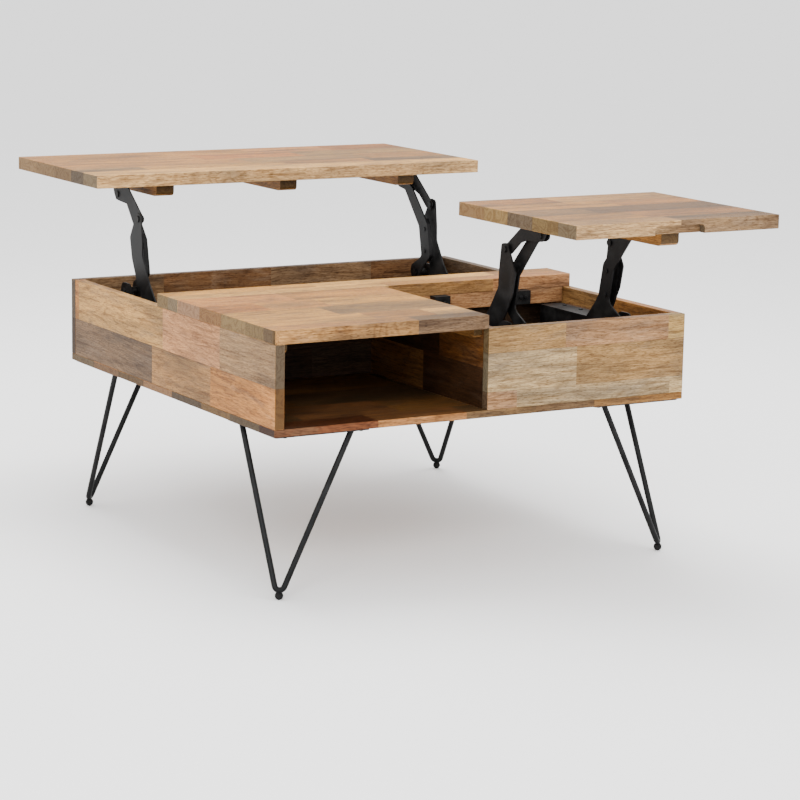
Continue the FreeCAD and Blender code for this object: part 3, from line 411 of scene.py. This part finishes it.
# each wooden node: its material's name, its axes, its place in the log, its tints, and its rows by share
BOARDS = {
    "left_side_panel": dict(name="wood_left_side", grain="y", across="z", seed=1.3, tint=WALL_TINT, rows=[
        (76, [(260, "orange"), (258, "tan"), (376, "grey")]),
        (81, [(218, "ash"), (245, "pink"), (395, "yellow"), (20, "orange")]),
    ]),
    "front_panel": dict(name="wood_front", grain="x", across="z", seed=2.1, tint=(1.0, 1.24, 1.75), rows=[
        (34, [(65, "pink"), (360, "pale"), (34, "cream")]),
        (75, [(200, "pale"), (257, "tan")]),
        (48, [(174, "tan"), (243, "pink"), (40, "yellow")]),
    ]),
    "right_side_panel": dict(
        name="wood_right_side", grain="y", across="z", seed=3.7, tint=(1.0, 1.12, 1.40), rows=[
            (76, [(380, "tan"), (300, "yellow"), (194, "pink")]),
            (81, [(200, "orange"), (420, "tan"), (254, "grey")]),
        ]),
    "back_panel": dict(name="wood_back", grain="x", across="z", seed=5.2, tint=(1.75, 1.85, 2.1), rows=[
        (76, [(300, "brown"), (330, "grey"), (284, "tan")]),
        (81, [(200, "grey"), (260, "brown"), (250, "grey"), (204, "brown")]),
    ]),
    # painted shade: the board's upward face, the floor of the cubby, is darkened to 0.4 for the shade inside
    # the box
    "bottom_board": dict(
        name="wood_bottom", grain="x", across="y", seed=6.4, upward_painted_light=(0.4, 0.4, 0.42), rows=[
            (60, [(217, "red"), (193, "pink"), (155, "ash"), (135, "grey"), (214, "tan")]),
            (120, [(90, "ash"), (210, "pink"), (260, "tan"), (354, "ash")]),
            (120, [(150, "tan"), (310, "ash"), (260, "pink"), (194, "grey")]),
            (130, [(110, "grey"), (330, "yellow"), (200, "ash"), (274, "tan")]),
            (130, [(230, "pink"), (240, "tan"), (310, "grey"), (134, "ash")]),
            (120, [(80, "tan"), (300, "ash"), (220, "brown"), (314, "tan")]),
            (120, [(160, "pink"), (260, "grey"), (300, "tan"), (194, "ash")]),
            (114, [(200, "ash"), (330, "pink"), (190, "brown"), (194, "tan")]),
        ]),
    "fixed_top": dict(
        name="wood_fixed_top", grain="x", across="y", seed=7.9, tint=WALL_TINT, upward_painted_light=TOP_PAINTED_LIGHT, rows=[
            (46, [(300, "tan"), (157, "grey")]),
            (72, [(240, "yellow"), (130, "tan"), (87, "pale")]),
            (100, [(200, "yellow"), (257, "ash")]),
            (92, [(110, "orange"), (130, "tan"), (217, "yellow")]),
            (95, [(210, "pink"), (247, "tan")]),
        ]),
    "rail_top": dict(
        name="wood_rail", grain="x", across="y", seed=9.1, tint=WALL_TINT, upward_painted_light=TOP_PAINTED_LIGHT, rows=[
            (44, [(470, "cream"), (250, "tan"), (194, "pink")]),
            (48, [(330, "yellow"), (420, "cream"), (164, "tan")]),
        ]),
    "small_lid": dict(
        name="wood_small_lid", grain="x", across="y", seed=11.4, tint=WALL_TINT, upward_painted_light=SMALL_LID_TOP_PAINTED_LIGHT,
        rows=[
            (60, [(230, "pale"), (227, "ash")]),
            (86, [(200, "yellow"), (257, "tan")]),
            (84, [(150, "ash"), (307, "grey")]),
            (82, [(260, "yellow"), (197, "tan")]),
            (91, [(180, "tan"), (277, "pale")]),
        ]),
    "large_lid": dict(
        name="wood_large_lid", grain="x", across="y", seed=13.8, tint=WALL_TINT, upward_painted_light=TOP_PAINTED_LIGHT, rows=[
            (70, [(480, "cream"), (280, "pale"), (154, "cream")]),
            (62, [(150, "ash"), (330, "yellow"), (210, "tan"), (224, "grey")]),
            (90, [(420, "tan"), (300, "ash"), (194, "tan")]),
            (93, [(350, "tan"), (250, "orange"), (314, "ash")]),
            (100, [(520, "tan"), (200, "pink"), (194, "orange")]),
        ]),
    # painted shade: the cubby divider is darkened all over for the shade inside the cubby
    "cubby_divider": dict(name="wood_divider", grain="y", across="z", seed=15.2, tint=(0.5, 0.5, 0.6), rows=[
        (78, [(220, "brown"), (207, "tan")]),
        (79, [(160, "orange"), (267, "brown")]),
    ]),
    # painted shade: the centre partition is darkened all over for the shadow it stands in
    "centre_partition": dict(
        name="wood_partition", grain="x", across="z", seed=17.0, tint=(0.42, 0.45, 0.6), rows=[
            (60, [(300, "brown"), (280, "grey"), (294, "brown")]),
            (65, [(200, "grey"), (350, "brown"), (324, "grey")]),
        ]),
    "rail_bearer": dict(name="wood_bearer", grain="x", across="y", seed=18.5, tint=(1.15, 1.32, 1.75), rows=[
        (90, [(400, "tan"), (474, "pink")]),
    ]),
    "lift_ledges": dict(name="wood_ledges", grain="y", across="z", seed=19.9, rows=[
        (32, [(400, "brown"), (436, "tan")]),
    ]),
    "lid_rest_blocks": dict(name="wood_rest_blocks", grain="x", across="z", seed=20.6, rows=[
        (28, [(231, "red")]),
    ]),
    "cubby_cleats": dict(name="wood_cleats", grain="y", across="z", seed=21.3, rows=[
        (21, [(380, "tan")]),
    ]),
    "large_lid_battens": dict(name="wood_large_battens", grain="y", across="z", seed=22.7, rows=[
        (25, [(355, "tan")]),
    ]),
    "small_lid_batten": dict(name="wood_small_batten", grain="y", across="z", seed=24.1, rows=[
        (25, [(343, "tan")]),
    ]),
}

STEEL = powder_coat()
WIRE = zinc_wire()
RUBBER = black_rubber()


def dress(name, material):
    """Puts one material on every slot of a node."""
    node = NODES[name]
    if not node.data.materials:
        node.data.materials.append(material)
    for slot in node.material_slots:
        slot.material = material


def dress_wood():
    for name, board in BOARDS.items():
        dress(name, wood(name, **board))


def dress_metal():
    looks = {"black_steel": STEEL, "zinc_steel": WIRE, "black_rubber": RUBBER}
    for entry in frame["record"]["subparts"]:
        if entry["material_slot"] in looks:
            dress(entry["node"], looks[entry["material_slot"]])


# ---- pieces the frame only stands in for

WIRE_RADIUS = 0.0011
BEVEL_RESOLUTION = 4
COIL_TURNS = 24
STEPS_PER_TURN = 18

# a hook's length in coil radii, and its bend: how far along the hook, and how high in wire radii
HOOK_LENGTH = 1.2
BEND_ALONG = 0.4
BEND_RISE = 0.4

# each hook's tip: how far past the spring's end and how high its points are, in wire radii
ANCHOR_TIP = ((1.5, -2.0), (2.6, 0.5))
ROD_TIP = (1.6, 0.0)


def tube_mesh(name, paths, radius):
    """One mesh of round tubes, each following its own list of points."""
    curve = bpy.data.curves.new(name + "_curve", "CURVE")
    curve.dimensions = "3D"
    curve.bevel_depth = radius
    curve.bevel_resolution = BEVEL_RESOLUTION
    curve.use_fill_caps = True
    for points in paths:
        spline = curve.splines.new("POLY")
        spline.points.add(len(points) - 1)
        for point, place in zip(spline.points, points):
            point.co = (*place, 1.0)
    holder = bpy.data.objects.new(name + "_holder", curve)
    bpy.context.scene.collection.objects.link(holder)
    bpy.context.view_layer.update()
    mesh = bpy.data.meshes.new_from_object(holder.evaluated_get(bpy.context.evaluated_depsgraph_get()))
    bpy.data.objects.remove(holder)
    for polygon in mesh.polygons:
        polygon.use_smooth = True
    mesh.name = name
    made = bpy.data.objects.new(name, mesh)
    bpy.context.scene.collection.objects.link(made)
    return made


def coil_points(centre_x, centre_z, start_y, end_y, radius, wire):
    """A coil between two hooks, along Y."""
    hook = radius * HOOK_LENGTH
    way = 1.0 if end_y > start_y else -1.0
    first = start_y + way * hook
    last = end_y - way * hook
    bend_z = centre_z + wire * BEND_RISE
    points = [
        (centre_x, start_y - way * wire * past, centre_z + wire * rise)
        for past, rise in ANCHOR_TIP
    ]
    points.append((centre_x, start_y + way * hook * BEND_ALONG, bend_z))
    count = COIL_TURNS * STEPS_PER_TURN
    for step in range(count + 1):
        angle = 2 * math.pi * step / STEPS_PER_TURN
        points.append((
            centre_x + radius * math.sin(angle),
            first + (last - first) * (step / count),
            centre_z + radius * math.cos(angle),
        ))
    past, rise = ROD_TIP
    points.append((centre_x, end_y - way * hook * BEND_ALONG, bend_z))
    points.append((centre_x, end_y + way * wire * past, centre_z + wire * rise))
    return points


def springs():
    """The real coils in place of the plain tubes."""
    for lid in ("large", "small"):
        node = f"{lid}_springs"
        low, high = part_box(node)
        outer = (high.z - low.z) / 2
        level = (high.z + low.z) / 2
        inner_y, outer_y = (low.y, high.y) if lid == "large" else (high.y, low.y)
        paths = [
            coil_points(x, level, inner_y, outer_y, outer - WIRE_RADIUS, WIRE_RADIUS)
            for x in (low.x + outer, high.x - outer)
        ]
        coil = tube_mesh(f"{lid}_spring_coils", paths, WIRE_RADIUS)
        coil.data.materials.append(WIRE)
        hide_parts(node)
        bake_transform(coil)


dress_wood()
dress_metal()
springs()


# ---- floor, light, camera

FLOOR_REACH = 40.0
PAPER_WHITE = 0.93
PAPER_SPECK = 0.995
WORLD_STRENGTH = 1.9
LIGHT_TARGET = (0.0, 0.0, 0.4)

# each lamp's place, the side of its square and its power in watts
LAMPS = {
    "overhead": ((0.3, 0.9, 3.4), 2.4, 150),
    "front_left": ((-2.6, -3.4, 2.6), 1.6, 130),
    "front_right": ((2.2, -3.6, 1.8), 2.0, 40),
}

CAMERA_PLACE = (-2.715, -4.729, 1.3054)
CAMERA_TURN = -0.53323
CAMERA_TIP = 0.18784
CAMERA_ROLL = 0.018342
CAMERA_LENS = 121.95
CAMERA_SENSOR = 36.0


def studio_paper():
    """White paper with the faintest mottle."""
    build = Builder("studio_paper")
    speck = build.noise(build.object_place(), scale=3.0, detail=2.0)
    white = (PAPER_WHITE, PAPER_WHITE, PAPER_WHITE, 1.0)
    mottled = (PAPER_WHITE * PAPER_SPECK, PAPER_WHITE * PAPER_SPECK, PAPER_WHITE * PAPER_SPECK, 1.0)
    colour = build.mix(build.fit(speck, low=0.3, high=0.7), white, mottled)
    build.surface(colour, roughness=0.9, specular=0.1)
    return build.material


def studio_floor():
    mesh = bpy.data.meshes.new("studio_floor")
    shape = bmesh.new()
    signs = ((-1, -1), (1, -1), (1, 1), (-1, 1))
    corners = [shape.verts.new((x * FLOOR_REACH, y * FLOOR_REACH, 0.0)) for x, y in signs]
    shape.faces.new(corners)
    shape.to_mesh(mesh)
    shape.free()
    floor = bpy.data.objects.new("studio_floor", mesh)
    bpy.context.scene.collection.objects.link(floor)
    mesh.materials.append(studio_paper())


def soft_light(name, place, side, power):
    """A square lamp that faces the table."""
    data = bpy.data.lights.new(name, "AREA")
    data.shape = "RECTANGLE"
    data.size = side
    data.size_y = side
    data.energy = power
    lamp = bpy.data.objects.new(name, data)
    bpy.context.scene.collection.objects.link(lamp)
    lamp.location = place
    towards = Vector(LIGHT_TARGET) - Vector(place)
    lamp.rotation_euler = towards.to_track_quat("-Z", "Y").to_euler()


def studio_light():
    world = bpy.data.worlds.new("studio")
    bpy.context.scene.world = world
    world.use_nodes = True
    background = world.node_tree.nodes["Background"]
    background.inputs["Color"].default_value = (1.0, 1.0, 1.0, 1.0)
    background.inputs["Strength"].default_value = WORLD_STRENGTH
    for name, (place, side, power) in LAMPS.items():
        soft_light(name, place, side, power)


def camera():
    """The photograph's viewpoint: turned and tipped towards the table, rolled by a degree."""
    data = bpy.data.cameras.new("camera")
    data.sensor_width = CAMERA_SENSOR
    data.lens = CAMERA_LENS
    made = bpy.data.objects.new("camera", data)
    bpy.context.scene.collection.objects.link(made)
    turn = Matrix.Rotation(CAMERA_TURN, 4, "Z")
    tip = Matrix.Rotation(math.pi / 2 - CAMERA_TIP, 4, "X")
    roll = Matrix.Rotation(CAMERA_ROLL, 4, "Z")
    made.matrix_world = Matrix.Translation(CAMERA_PLACE) @ turn @ tip @ roll
    bpy.context.scene.camera = made


studio_floor()
studio_light()
camera()
